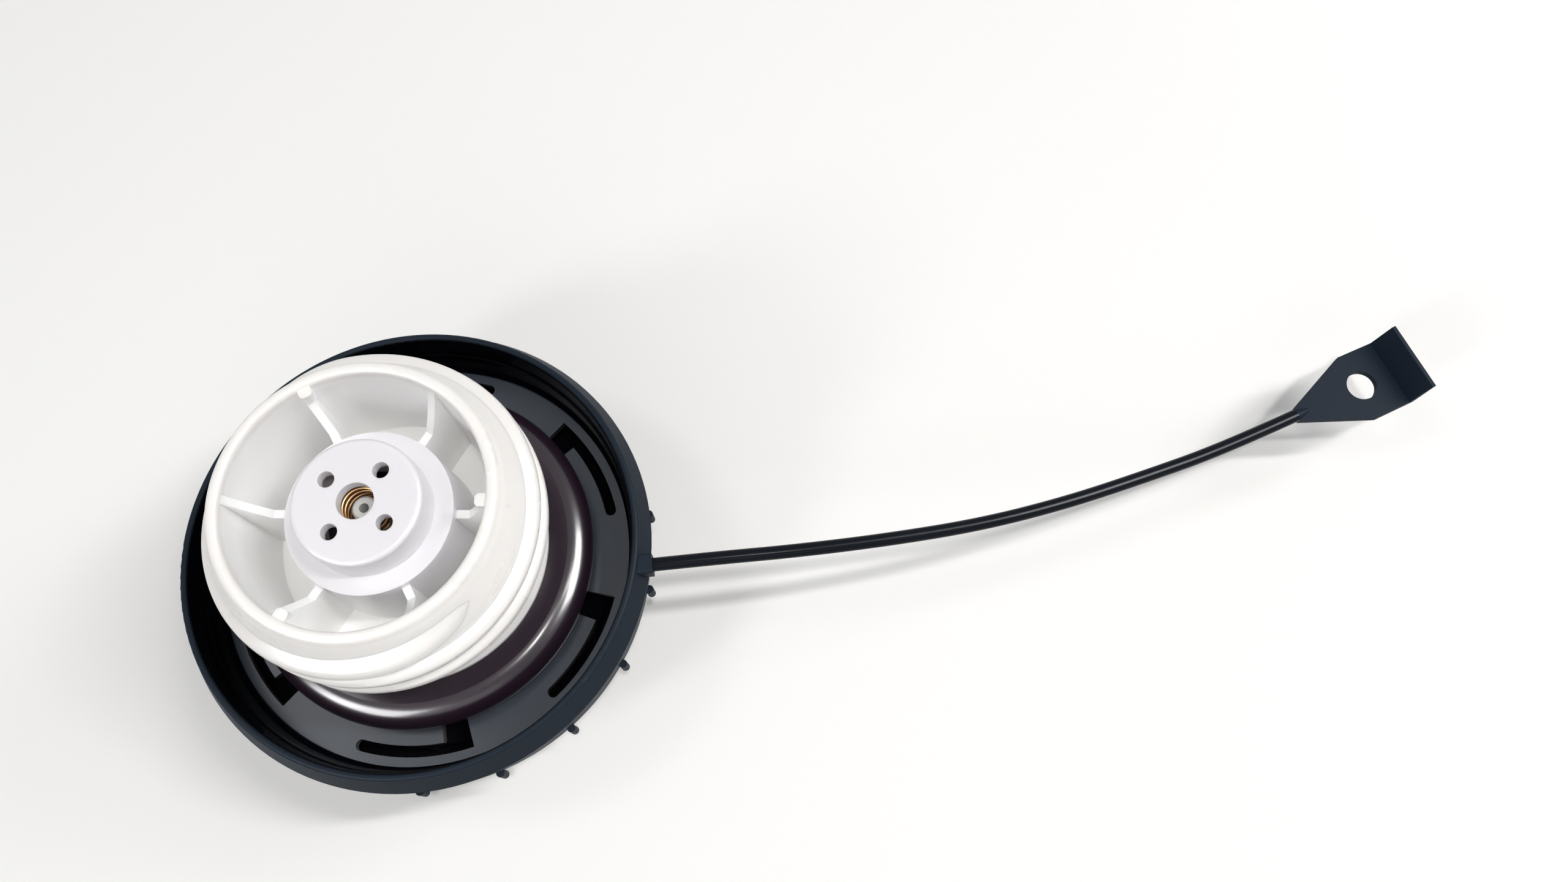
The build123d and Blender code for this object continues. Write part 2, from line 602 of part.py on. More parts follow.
# --- vacuum_spring -----------------------------------------------------------------------------
light_low = stem_z + VACUUM_SPRING_WIRE / 2 + FIT
light_rise = roof_z - stem_z - VACUUM_SPRING_WIRE - 2 * FIT

with BuildPart() as vacuum_spring:
    with BuildLine() as light_coil:
        Helix(
            light_rise / VACUUM_SPRING_TURNS, light_rise, VACUUM_SPRING_R,
            center=(0, 0, light_low))
    with BuildSketch(Plane(origin=light_coil.line @ 0, z_dir=light_coil.line % 0)):
        RegularPolygon(VACUUM_SPRING_WIRE / 2, WIRE_SIDES)
    sweep(is_frenet=True)
finish(vacuum_spring, "vacuum_spring")

# --- tether_ring -------------------------------------------------------------------------------
ring_lip_in_r = RING_LIP_R - RING_LIP_WALL
ring_in_r = skirt_in_r + RING_STEP
strap_exit_x = skirt_edge_r + STRAP_STAND
strap_start = Plane(
    origin=(strap_exit_x, 0, STRAP_EXIT_Z), x_dir=(0, 0, 1), z_dir=(*polar(1, STRAP_ANGLE), 0))

with BuildPart() as tether_ring:
    with BuildSketch(Plane.XZ):
        with BuildLine():
            Polyline(
                (ring_lip_in_r, lip_z - RING_LIP_WALL / 2), (ring_in_r, ring_z),
                (tongue_in_r, ring_z), (tongue_in_r, ring_z - TONGUE_LENGTH),
                (tongue_out_r, ring_z - TONGUE_LENGTH),
                (tongue_out_r + TONGUE_BEAD, ring_z - TONGUE_LENGTH + TONGUE_T),
                (tongue_out_r, ring_z - TONGUE_LENGTH + 2 * TONGUE_T), (tongue_out_r, ring_z),
                (skirt_edge_r, ring_z), (RING_LIP_R, lip_z - RING_LIP_WALL / 2))
            ThreePointArc(
                (RING_LIP_R, lip_z - RING_LIP_WALL / 2), (RING_LIP_R - RING_LIP_WALL / 2, lip_z),
                (ring_lip_in_r, lip_z - RING_LIP_WALL / 2))
        make_face()
    revolve(axis=Axis.Z)
    # block that the strap grows out of
    with BuildSketch(strap_start):
        RectangleRounded(BLOCK_HEIGHT, BLOCK_WIDTH, STRAP_D / 4)
    extrude(amount=-(strap_exit_x - RING_LIP_R + RING_LIP_WALL / 2))
finish(tether_ring, "tether_ring")

# --- tether_tab --------------------------------------------------------------------------------
strap_end = (TAB_AT[0], TAB_AT[1], TAB_LIFT + STRAP_D / 2)
tab_plane = Plane(
    origin=(TAB_AT[0], TAB_AT[1], TAB_LIFT), x_dir=(*polar(1, TAB_ANGLE), 0), z_dir=(0, 0, 1))
neck_start = Plane(origin=strap_end, z_dir=(*polar(1, TAB_ANGLE), 0))

with BuildPart() as tether_tab:
    with BuildSketch(tab_plane):
        with BuildLine():
            Polyline(
                (0, STRAP_D / 2), (TAB_SHOULDER, TAB_WIDTH / 2), (TAB_FOLD, TAB_FOLD_WIDTH / 2),
                (TAB_FOLD, -TAB_FOLD_WIDTH / 2), (TAB_SHOULDER, -TAB_WIDTH / 2),
                (0, -STRAP_D / 2), (0, STRAP_D / 2))
        make_face()
        with Locations((TAB_HOLE_AT, 0)):
            Circle(TAB_HOLE_R, mode=Mode.SUBTRACT)
    extrude(amount=TAB_T)
    fillet(
        tether_tab.edges().filter_by(Axis.Z).sort_by_distance(
            tab_plane.from_local_coords((TAB_SHOULDER, 0, 0)))[:2], radius=TAB_CORNER_R)
    # turned-up flap, leaning outwards
    with BuildSketch(Plane(
            origin=tab_plane.from_local_coords((TAB_FOLD, -TAB_FOLD_WIDTH / 2, 0)),
            x_dir=(*polar(1, TAB_ANGLE), 0),
            z_dir=(sin(radians(TAB_ANGLE)), -cos(radians(TAB_ANGLE)), 0))):
        with BuildLine():
            lean = FLAP_HEIGHT * tan(radians(FLAP_LEAN))
            Polyline(
                (-TAB_T, 0), (0, 0), (lean, FLAP_HEIGHT), (lean - TAB_T / 2, FLAP_HEIGHT),
                (-TAB_T, TAB_T), (-TAB_T, 0))
        make_face()
    extrude(amount=-TAB_FOLD_WIDTH)
    # round neck that fades into the flat
    with BuildSketch(neck_start):
        Circle(STRAP_D / 2)
    with BuildSketch(neck_start.offset(TAB_NECK)):
        with Locations((0, 0)):
            Circle(TAB_T / 4)
    loft()
finish(tether_tab, "tether_tab")

# --- tether_cord -------------------------------------------------------------------------------
strap_points = (
    (strap_exit_x, 0.0, STRAP_EXIT_Z),
    tuple(strap_start.from_local_coords((0, 0, STRAP_FIRST_RUN))),
    (63.75, 4.34, 28.5),
    (78.94, 7.87, 26.6),
    (94.57, 12.28, 24.2),
    (109.51, 17.95, 21.7),
    (123.82, 24.42, 19.7),
    tuple(neck_start.from_local_coords((0, 0, -STRAP_LAST_RUN))),
    strap_end,
)
runs = [(Vector(*q) - Vector(*p)) for p, q in zip(strap_points, strap_points[1:])]
bends = [
    STRAP_BEND_SHARE * min(a.length, b.length) / tan(radians(a.get_angle(b)) / 2)
    for a, b in zip(runs, runs[1:])]
print("strap bends, mm:", [round(bend, 1) for bend in bends])

with BuildPart() as tether_cord:
    with BuildLine() as strap_path:
        FilletPolyline(*strap_points, radius=bends)
    with BuildSketch(Plane(origin=strap_path.line @ 0, z_dir=strap_path.line % 0)):
        Circle(STRAP_D / 2)
    sweep()
finish(tether_cord, "tether_cord")

print("strap length, mm:", round(sum(edge.length for edge in strap_path.edges()), 2))
print("built", [piece.label for piece in finished])
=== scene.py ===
# %% [markdown]
# # A fuel filler cap, lying on its grip
# This lesson dresses a small moulded assembly: a white threaded plug, a rubber sealing ring, a
# dark ratchet plate, a black cover and a strap that ends in a holed tab. The solid parts come
# as a fixed frame at their real size, so Blender only adds what makes them look real: the
# thread, the strap's smooth line, coiled springs, the finishes and the light.

# %% Load the frame
from math import atan2, hypot, pi, radians

import bpy
from mathutils import Matrix, Vector


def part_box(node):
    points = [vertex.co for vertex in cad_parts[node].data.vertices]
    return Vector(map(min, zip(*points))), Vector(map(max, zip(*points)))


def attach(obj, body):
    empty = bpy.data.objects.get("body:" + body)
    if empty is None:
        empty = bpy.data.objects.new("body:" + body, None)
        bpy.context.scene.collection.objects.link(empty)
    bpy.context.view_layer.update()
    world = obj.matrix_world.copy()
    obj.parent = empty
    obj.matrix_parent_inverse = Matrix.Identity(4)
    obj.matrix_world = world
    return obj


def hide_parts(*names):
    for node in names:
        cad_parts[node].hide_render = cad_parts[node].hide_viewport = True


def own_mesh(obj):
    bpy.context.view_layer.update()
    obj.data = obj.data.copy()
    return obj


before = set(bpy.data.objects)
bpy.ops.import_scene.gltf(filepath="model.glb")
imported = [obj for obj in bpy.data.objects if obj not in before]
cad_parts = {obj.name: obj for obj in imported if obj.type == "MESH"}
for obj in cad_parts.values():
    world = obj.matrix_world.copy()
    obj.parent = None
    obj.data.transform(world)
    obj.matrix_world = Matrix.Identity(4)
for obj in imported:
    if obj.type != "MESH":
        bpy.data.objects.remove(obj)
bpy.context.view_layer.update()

MM = 0.001
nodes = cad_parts
print("nodes:", sorted(nodes))

# %% [markdown]
# ## Reading sizes from the frame
# A piece that is added must sit on what carries it, so the levels are read from the boxes of
# the solid parts instead of being typed again. Everything is in metres, with +Z up the plug.

# %% Levels of the cap
mouth_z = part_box("closer")[1].z
plate_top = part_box("torque_plate")[1].z
grip_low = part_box("cover")[0].z
print("mouth %.1f mm, plate %.1f mm, grip %.1f mm" % (mouth_z / MM, plate_top / MM, grip_low / MM))

# %% [markdown]
# ## The camera
# A short lens close to the object gives a strong perspective: the near rim looks large, and the
# plug leans away from the middle of the frame. The camera is placed by its position and its
# axes, which is more exact than aiming it by eye.

# %% Camera
CAMERA_PLACE = Vector((70.13, -44.74, 227.26)) * MM
CAMERA_RIGHT = Vector((0.99666, 0.0784, -0.023))
CAMERA_UP = Vector((-0.06661, 0.94267, 0.327))
SENSOR_WIDTH = 36
LENS = 28.125
NEAREST_SEEN = 10 * MM

bpy.ops.object.select_all(action="DESELECT")
bpy.ops.object.camera_add(location=CAMERA_PLACE)
camera = bpy.context.object
camera_back = CAMERA_RIGHT.cross(CAMERA_UP)
camera.rotation_euler = Matrix((CAMERA_RIGHT, CAMERA_UP, camera_back)).transposed().to_euler()
camera.data.sensor_width = SENSOR_WIDTH
camera.data.lens = LENS
camera.data.clip_start = NEAREST_SEEN
bpy.context.scene.camera = camera
print("camera %.0f mm above the table" % (CAMERA_PLACE.z / MM))

# %% [markdown]
# ## The strap
# A moulded strap is stiff: it leaves its block level, droops in one long bow and holds its tab
# clear of the table. Straight runs with rounded corners would look like bent wire, so a NURBS
# curve is led past a few listed points, and a round bevel gives it its thickness.

# %% Strap
STRAP_D = 2.3 * MM
STRAP_SMOOTHNESS = 24
STRAP_ROUNDNESS = 8
STRAP_ROUTE = (
    (40.3, 0.0, 29.6),
    (48.658, 1.549, 29.6),
    (63.75, 4.34, 28.5),
    (78.94, 7.87, 26.6),
    (94.57, 12.28, 24.2),
    (109.51, 17.95, 21.7),
    (123.82, 24.42, 19.7),
    (137.975, 31.024, 18.55),
    (151.12, 38.25, 18.55),
)

curve = bpy.data.curves.new("strap", "CURVE")
curve.dimensions = "3D"
spline = curve.splines.new("NURBS")
spline.points.add(len(STRAP_ROUTE) - 1)
for point, place in zip(spline.points, STRAP_ROUTE):
    point.co = (place[0] * MM, place[1] * MM, place[2] * MM, 1)
spline.order_u = 3
spline.use_endpoint_u = True
spline.resolution_u = STRAP_SMOOTHNESS
curve.bevel_depth = STRAP_D / 2
curve.bevel_resolution = STRAP_ROUNDNESS
curve.use_fill_caps = True
strap = bpy.data.objects.new("strap", curve)
bpy.context.scene.collection.objects.link(strap)
print("strap of", len(STRAP_ROUTE), "points")

# %% [markdown]
# ## Small helpers for modelling
# Operators act on whatever is selected, so each step starts by clearing the selection. A swept
# piece begins as its section. The sweep leaves doubled points, open ends and faces that may
# point inwards, so the last helper puts all three right before the piece is shaded smooth.

# %% Helpers
SMOOTH_ANGLE = radians(40)
SAME_POINT = 0.002 * MM


def choose(*pieces):
    """Go to object mode and select only these pieces."""
    if bpy.context.object and bpy.context.object.mode != "OBJECT":
        bpy.ops.object.mode_set(mode="OBJECT")
    bpy.ops.object.select_all(action="DESELECT")
    for piece in pieces:
        piece.select_set(True)
    bpy.context.view_layer.objects.active = pieces[-1] if pieces else None


def apply_all(piece):
    """Apply a piece's modifiers in their order."""
    choose(piece)
    for modifier in list(piece.modifiers):
        bpy.ops.object.modifier_apply(modifier=modifier.name)


def settle(piece):
    """Merge doubles, close open ends, point the faces outwards and shade the piece smooth."""
    choose(piece)
    bpy.ops.object.mode_set(mode="EDIT")
    bpy.ops.mesh.select_all(action="SELECT")
    bpy.ops.mesh.remove_doubles(threshold=SAME_POINT)
    bpy.ops.mesh.fill_holes(sides=0)
    bpy.ops.mesh.normals_make_consistent(inside=False)
    bpy.ops.object.mode_set(mode="OBJECT")
    bpy.ops.object.shade_smooth_by_angle(angle=SMOOTH_ANGLE)
    print(piece.name, len(piece.data.polygons), "faces")


# %% [markdown]
# ## The thread
# The plug screws home in less than two turns, so its thread is coarse and has two starts. One
# ridge is a low trapezoid along a helix. A stack of rings would be simpler but wouldn't climb,
# so the section is drawn by extruding one point from corner to corner, and the Screw modifier
# sweeps it.

# %% The ridge's section
ROOT_R = 24.0 * MM
THREAD_HEIGHT = 1.6 * MM
THREAD_LOW = plate_top + 18.3 * MM
SECTION = ((-2.5, -0.4), (-0.95, 1.0), (0.95, 1.0), (2.5, -0.4))  # mm along, share of height out


def draw_section(name):
    """Draw the closed section of one ridge by extruding a single point."""
    corners = [
        Vector((ROOT_R + THREAD_HEIGHT * out, 0, THREAD_LOW + along * MM)) for along, out in SECTION]
    choose()
    bpy.ops.mesh.primitive_plane_add(size=MM, location=(0, 0, 0))
    section = bpy.context.object
    section.name = section.data.name = name
    bpy.ops.object.mode_set(mode="EDIT")
    bpy.ops.mesh.select_all(action="SELECT")
    bpy.ops.mesh.merge(type="CENTER")
    bpy.ops.transform.translate(value=corners[0])
    for here, there in zip(corners, corners[1:] + corners[:1]):
        bpy.ops.mesh.extrude_region_move(TRANSFORM_OT_translate={"value": there - here})
    bpy.ops.object.mode_set(mode="OBJECT")
    return section


print("ridge %.1f mm high on a root of %.0f mm" % (THREAD_HEIGHT / MM, 2 * ROOT_R / MM))

# %% [markdown]
# ### Where a ridge follows the wall
# A moulded thread has no blunt ends: each start rises out of the wall over a sixth of a turn,
# and near the mouth the wall tapers and the ridge leans in with it. No modifier does that for a
# helix, so the swept points are moved in towards the axis by their place along the thread.

# %% Fading ends and taper
THREAD_LEAD = 11.0 * MM
THREAD_TURNS = 1.40
RUN_OUT = radians(60)
SINK = 1.1 * MM
TAPER_FROM = plate_top + 29.0 * MM
TAPER_SLOPE = 0.22


def wall_radius(height):
    """Radius of the plug's wall: straight, then a slight taper towards the mouth."""
    return ROOT_R - TAPER_SLOPE * max(0.0, height - TAPER_FROM)


def press_into_wall(ridge):
    """Let a swept ridge follow the wall's taper, and sink both its ends into the wall."""
    for vertex in ridge.data.vertices:
        radius = hypot(vertex.co.x, vertex.co.y)
        turn = atan2(vertex.co.y, vertex.co.x) % (2 * pi)
        # the same angle comes round again one lead higher, so the height tells which pass
        loops = round((vertex.co.z - THREAD_LOW) / THREAD_LEAD - turn / (2 * pi))
        along = turn + 2 * pi * max(loops, 0)
        left = min(along, 2 * pi * THREAD_TURNS - along)
        fade = max(0.0, min(1.0, left / RUN_OUT))
        fade = fade * fade * (3 - 2 * fade)
        proud = min(radius - ROOT_R, THREAD_HEIGHT)
        lowered = wall_radius(vertex.co.z) + proud * fade - SINK * (1 - fade)
        vertex.co.x *= lowered / radius
        vertex.co.y *= lowered / radius


print("each start makes %.1f turns and climbs %.1f mm" % (THREAD_TURNS, THREAD_LEAD * THREAD_TURNS / MM))

# %% [markdown]
# ### Both starts
# The two ridges are alike and stand half a turn apart. A bevel rounds their edges after the
# ends are pressed in, so the rounding stays even, and both ride on the plug.

# %% Thread
THREAD_START = radians(-157)
STEPS_PER_TURN = 160
EDGE_R = 0.5 * MM
EDGE_STEPS = 4
EDGE_ANGLE = radians(25)


def thread_ridge(name, start):
    """Sweep one ridge of the thread from a start angle."""
    ridge = draw_section(name)
    screw = ridge.modifiers.new("helix", "SCREW")
    screw.angle = 2 * pi * THREAD_TURNS
    screw.screw_offset = THREAD_LEAD * THREAD_TURNS
    screw.steps = screw.render_steps = round(STEPS_PER_TURN * THREAD_TURNS)
    screw.use_merge_vertices = True
    apply_all(ridge)
    press_into_wall(ridge)
    ridge.rotation_euler.z = start
    bpy.ops.object.transform_apply(location=True, rotation=True, scale=True)
    bevel = ridge.modifiers.new("soft edges", "BEVEL")
    bevel.width = EDGE_R
    bevel.segments = EDGE_STEPS
    bevel.limit_method = "ANGLE"
    bevel.angle_limit = EDGE_ANGLE
    apply_all(ridge)
    settle(ridge)
    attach(ridge, "closer")
    return ridge


threads = [
    thread_ridge("thread_start_1", THREAD_START),
    thread_ridge("thread_start_2", THREAD_START + pi),
]

# %% [markdown]
# ## The springs
# Each spring shortens when its valve opens, so it is drawn as a coil. A round section is swept
# by the Screw modifier between the levels of the solid spring that it stands for.

# %% Springs
PRESSURE_COIL_R = 7.4 * MM
PRESSURE_WIRE = 0.9 * MM
VACUUM_COIL_R = 3.0 * MM
VACUUM_WIRE = 0.5 * MM
WIRE_SIDES = 12
COIL_STEPS = 40
COIL_TURNS = 5


def wind_spring(name, node, radius, wire):
    """Wind a round wire in place of a solid spring, and hide the solid spring."""
    low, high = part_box(node)
    choose()
    bpy.ops.mesh.primitive_circle_add(
        vertices=WIRE_SIDES, radius=wire / 2, location=(radius, 0, low.z + wire / 2),
        rotation=(pi / 2, 0, 0))
    coil = bpy.context.object
    coil.name = coil.data.name = name
    bpy.ops.object.transform_apply(location=True, rotation=True, scale=True)
    screw = coil.modifiers.new("winding", "SCREW")
    screw.angle = 2 * pi * COIL_TURNS
    screw.screw_offset = high.z - low.z - wire
    screw.steps = screw.render_steps = COIL_STEPS * COIL_TURNS
    apply_all(coil)
    settle(coil)
    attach(coil, "closer")
    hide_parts(node)
    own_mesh(coil)
    return coil


pressure_coil = wind_spring(
    "pressure_coil", "pressure_spring", PRESSURE_COIL_R, PRESSURE_WIRE)
vacuum_coil = wind_spring(
    "vacuum_coil", "vacuum_spring", VACUUM_COIL_R, VACUUM_WIRE)

# %% [markdown]
# ## Finishes
# Each finish is one shader with its detail from noise: colour drifts a little, roughness varies
# with handling, and a fine bump breaks the reflections as a moulded skin does. A flat colour
# would look like paint. Patterns read Object coordinates, so they stay on the pieces when these
# turn.

# %% A moulded finish
MOTTLE_SCALE = 60
MOTTLE_DETAIL = 4
GRAIN_SCALE = 900
GRAIN_DETAIL = 3
GRAIN_DEPTH = 0.1 * MM
DRIFT = 1.25


def noise_on(tree, scale, detail):
    """Add a noise pattern that is fixed to the piece."""
    where = tree.nodes.new("ShaderNodeTexCoord")
    noise = tree.nodes.new("ShaderNodeTexNoise")
    noise.inputs["Scale"].default_value = scale
    noise.inputs["Detail"].default_value = detail
    tree.links.new(where.outputs["Object"], noise.inputs["Vector"])
    return noise.outputs["Fac"]


def finish_of(name, colour, roughness, second=None, bump=0.05, rough_spread=0.08, **sockets):
    """Make a procedural plastic, rubber or metal: colour drift, roughness patches and grain."""
    material = bpy.data.materials.new(name)
    material.use_nodes = True
    tree = material.node_tree
    shader = tree.nodes["Principled BSDF"]
    patches = noise_on(tree, MOTTLE_SCALE, MOTTLE_DETAIL)

    drift = tree.nodes.new("ShaderNodeMix")
    drift.data_type = "RGBA"
    drift.inputs["A"].default_value = (*colour, 1)
    drift.inputs["B"].default_value = (*(second or [part * DRIFT for part in colour]), 1)
    tree.links.new(patches, drift.inputs["Factor"])
    tree.links.new(drift.outputs["Result"], shader.inputs["Base Color"])

    spread = tree.nodes.new("ShaderNodeMapRange")
    spread.inputs["To Min"].default_value = roughness - rough_spread
    spread.inputs["To Max"].default_value = roughness + rough_spread
    tree.links.new(patches, spread.inputs["Value"])
    tree.links.new(spread.outputs["Result"], shader.inputs["Roughness"])

    relief = tree.nodes.new("ShaderNodeBump")
    relief.inputs["Strength"].default_value = bump
    relief.inputs["Distance"].default_value = GRAIN_DEPTH
    tree.links.new(noise_on(tree, GRAIN_SCALE, GRAIN_DETAIL), relief.inputs["Height"])
    tree.links.new(relief.outputs["Normal"], shader.inputs["Normal"])
    for socket, value in sockets.items():
        shader.inputs[socket.replace("_", " ")].default_value = value
    print("finish:", name)
    return material


# %% [markdown]
# ### Parts of a finish
# A moulding is often polished in one place and matt in another. Instead of cutting the mesh up,
# a mask made from each point's height and its distance from the axis says where the second
# colour and roughness begin. The second colours below are all painted light and shade.

# %% Masks
def height_of(tree):
    """Give a shader the height of each point."""
    where = tree.nodes.new("ShaderNodeTexCoord")
    split = tree.nodes.new("ShaderNodeSeparateXYZ")
    tree.links.new(where.outputs["Object"], split.inputs["Vector"])
    return split.outputs["Z"]


def reach_of(tree):
    """Give a shader the distance of each point from the cap's axis."""
    where = tree.nodes.new("ShaderNodeTexCoord")
    flat = tree.nodes.new("ShaderNodeVectorMath")
    flat.operation = "MULTIPLY"
    flat.inputs[1].default_value = (1, 1, 0)
    tree.links.new(where.outputs["Object"], flat.inputs[0])
    reach = tree.nodes.new("ShaderNodeVectorMath")
    reach.operation = "LENGTH"
    tree.links.new(flat.outputs["Vector"], reach.inputs[0])
    return reach.outputs["Value"]


def step_at(tree, value, start, stop, low=0.0, high=1.0):
    """Climb smoothly from low, where the value is start, to high, where it is stop."""
    step = tree.nodes.new("ShaderNodeMapRange")
    step.interpolation_type = "SMOOTHSTEP"
    step.inputs["From Min"].default_value = start
    step.inputs["From Max"].default_value = stop
    step.inputs["To Min"].default_value = low
    step.inputs["To Max"].default_value = high
    tree.links.new(value, step.inputs["Value"])
    return step.outputs["Result"]


def product_of(tree, first, second):
    """Multiply two values, which keeps only where two masks agree."""
    product = tree.nodes.new("ShaderNodeMath")
    product.operation = "MULTIPLY"
    tree.links.new(first, product.inputs[0])
    tree.links.new(second, product.inputs[1])
    return product.outputs["Value"]


def recolour(material, mask, colour, roughness):
    """Give the masked part of a finish another colour and roughness."""
    tree = material.node_tree
    shader = tree.nodes["Principled BSDF"]
    for socket, kind, value in (
            ("Base Color", "RGBA", (*colour, 1)), ("Roughness", "FLOAT", roughness)):
        mix = tree.nodes.new("ShaderNodeMix")
        mix.data_type = kind
        tree.links.new(mask, mix.inputs["Factor"])
        tree.links.new(shader.inputs[socket].links[0].from_socket, mix.inputs["A"])
        mix.inputs["B"].default_value = value
        tree.links.new(mix.outputs["Result"], shader.inputs[socket])
    print("second part of", material.name)


# %% [markdown]
# ### White plug
# The plug is natural acetal, which is milky: light goes in, spreads a millimetre or so and comes
# out again. Plain white would look like chalk, so the shader lets light under the surface. The
# deep well and the thread's root are painted paler, as painted light for the light that bounces
# about in them, and the valve's nose in the middle is painted darker and cooler as painted shade.

# %% White plug finish
PLUG_WHITE = (0.84, 0.815, 0.795)
PLUG_WHITE_PALE = (0.865, 0.85, 0.835)
MILK_SPREAD = (1.0, 0.9, 0.82)
MILK_DEPTH = 1.2 * MM
white_plastic = finish_of(
    "white_plastic", PLUG_WHITE, 0.28, second=PLUG_WHITE_PALE, bump=0.02,
    Subsurface_Weight=0.6, Subsurface_Radius=MILK_SPREAD, Subsurface_Scale=MILK_DEPTH)

tree = white_plastic.node_tree
height = height_of(tree)
reach = reach_of(tree)

# %% Well
WELL_PAINTED_LIGHT = (0.995, 0.99, 0.98)
WELL_R = 22.0 * MM
WELL_FADE = 0.8 * MM
WELL_FROM = mouth_z - 0.8 * MM
WELL_FULL = mouth_z - 2.5 * MM
# painted light: the deep well is painted paler, standing in for the light that bounces about in it
well = product_of(
    tree, step_at(tree, reach, WELL_R, WELL_R - WELL_FADE),
    step_at(tree, height, WELL_FROM, WELL_FULL))
recolour(white_plastic, well, WELL_PAINTED_LIGHT, 0.35)

# %% Nose
NOSE_PAINTED_SHADE = (0.77, 0.755, 0.785)
NOSE_R = 13.2 * MM
NOSE_FADE = 0.5 * MM
# painted shade: the valve's nose is painted darker and cooler than the rest of the same moulding
recolour(white_plastic, step_at(tree, reach, NOSE_R, NOSE_R - NOSE_FADE), NOSE_PAINTED_SHADE, 0.3)

# %% Thread root
ROOT_PAINTED_LIGHT = (0.98, 0.97, 0.955)
ROOT_INSIDE = 0.9 * MM
ROOT_FADE_IN = 0.3 * MM
ROOT_OUTSIDE = 1.2 * MM
ROOT_FADE_OUT = 0.8 * MM
ROOT_FADE_UP = 2 * MM
# painted light: the thread's root is painted paler, standing in for light bouncing between the ridges
root = product_of(
    tree, step_at(tree, reach, ROOT_R - ROOT_INSIDE, ROOT_R - ROOT_INSIDE + ROOT_FADE_IN),
    step_at(tree, reach, ROOT_R + ROOT_OUTSIDE, ROOT_R + ROOT_OUTSIDE - ROOT_FADE_OUT))
root = product_of(tree, root, step_at(tree, height, TAPER_FROM + ROOT_FADE_UP, TAPER_FROM))
recolour(white_plastic, root, ROOT_PAINTED_LIGHT, 0.5)

# %% [markdown]
# ### Black cover
# The cover's outside is satin with a blue cast, while the inside of its wall is polished and
# painted near black as painted shade. Below the ratchet plate almost no light comes back, so
# whatever shows in the slots is painted matt black as painted shade.

# %% Cover finish
COVER_BLACK = (0.013, 0.019, 0.028)
COVER_BLACK_PALE = (0.017, 0.024, 0.034)
# painted shade: a near-black colour for shaded insides and slot walls
PAINTED_SHADE_BLACK = (0.0015, 0.0018, 0.003)
POLISH_R = 36.9 * MM
POLISH_FADE = 0.2 * MM
POLISH_FROM = grip_low + 15.3 * MM
POLISH_FULL = grip_low + 15.4 * MM
DEEP_FROM = plate_top - 1.2 * MM
DEEP_FULL = plate_top - 1.6 * MM
cover_black = finish_of(
    "cover_black", COVER_BLACK, 0.45, second=COVER_BLACK_PALE, bump=0.04,
    Specular_IOR_Level=0.03)

tree = cover_black.node_tree
height = height_of(tree)
# painted shade: inside the wall the colour is painted near black; the low roughness is the real polish
inside = product_of(
    tree, step_at(tree, reach_of(tree), POLISH_R + POLISH_FADE, POLISH_R - POLISH_FADE),
    step_at(tree, height, POLISH_FROM, POLISH_FULL))
recolour(cover_black, inside, PAINTED_SHADE_BLACK, 0.16)
# painted shade: below the ratchet plate the cover is painted matt black
deep = product_of(tree, inside, step_at(tree, height, DEEP_FROM, DEEP_FULL))
recolour(cover_black, deep, PAINTED_SHADE_BLACK, 0.95)

# %% [markdown]
# ### Dark ratchet plate
# The plate is a satin grey-blue moulding. Only its top face is lit: the sides of its slots are
# painted black as painted shade, so that the slots read as holes.

# %% Plate finish
PLATE_GREY = (0.020, 0.026, 0.037)
PLATE_GREY_PALE = (0.026, 0.033, 0.046)
PLATE_SIDE_FROM = plate_top - 0.2 * MM
PLATE_SIDE_FULL = plate_top - 0.35 * MM
dark_plate = finish_of(
    "dark_plate", PLATE_GREY, 0.30, second=PLATE_GREY_PALE, bump=0.04,
    Specular_IOR_Level=0.4)
tree = dark_plate.node_tree
# painted shade: the sides of the slots are painted black
recolour(
    dark_plate, step_at(tree, height_of(tree), PLATE_SIDE_FROM, PLATE_SIDE_FULL), PAINTED_SHADE_BLACK, 0.9)

# %% [markdown]
# ### Rubber
# The sealing ring is smooth rubber with a purple cast. A clear coat over a dull body gives
# it sharp streaks on a dark ground, which one rough shader can't. The valve's seal is dry.

# %% Rubber finishes
GASKET_BLACK = (0.012, 0.006, 0.012)
GASKET_BLACK_PALE = (0.018, 0.009, 0.017)
SEAL_BLACK = (0.012, 0.007, 0.011)
gasket_rubber = finish_of(
    "gasket_rubber", GASKET_BLACK, 0.30, second=GASKET_BLACK_PALE, bump=0.02,
    rough_spread=0.04, Specular_IOR_Level=0.08, Coat_Weight=1.0, Coat_Roughness=0.20, Coat_IOR=1.42)
seal_rubber = finish_of("seal_rubber", SEAL_BLACK, 0.5, bump=0.08)

# %% [markdown]
# ### Strap and tab
# Strap and tab come from one mould. The thin strap is the glossier of the two and the tab's flat
# face is satin, so each gets a shader of its own instead of one in between.

# %% Strap and tab finishes
STRAP_BLACK = (0.003, 0.004, 0.008)
STRAP_BLACK_PALE = (0.004, 0.006, 0.010)
TAB_BLACK = (0.009, 0.015, 0.025)
TAB_BLACK_PALE = (0.012, 0.019, 0.031)
strap_black = finish_of(
    "strap_black", STRAP_BLACK, 0.22, second=STRAP_BLACK_PALE, bump=0.02,
    Specular_IOR_Level=0.08)
tab_black = finish_of(
    "tab_black", TAB_BLACK, 0.5, second=TAB_BLACK_PALE, bump=0.06,
    Specular_IOR_Level=0.03)

# %% [markdown]
# ### Valves and springs
# The valve discs are a greyer white than the plug. The strong spring is steel wire and the
# light one bronze. Drawn wire is a metal with a little of its shine dulled by roughness.

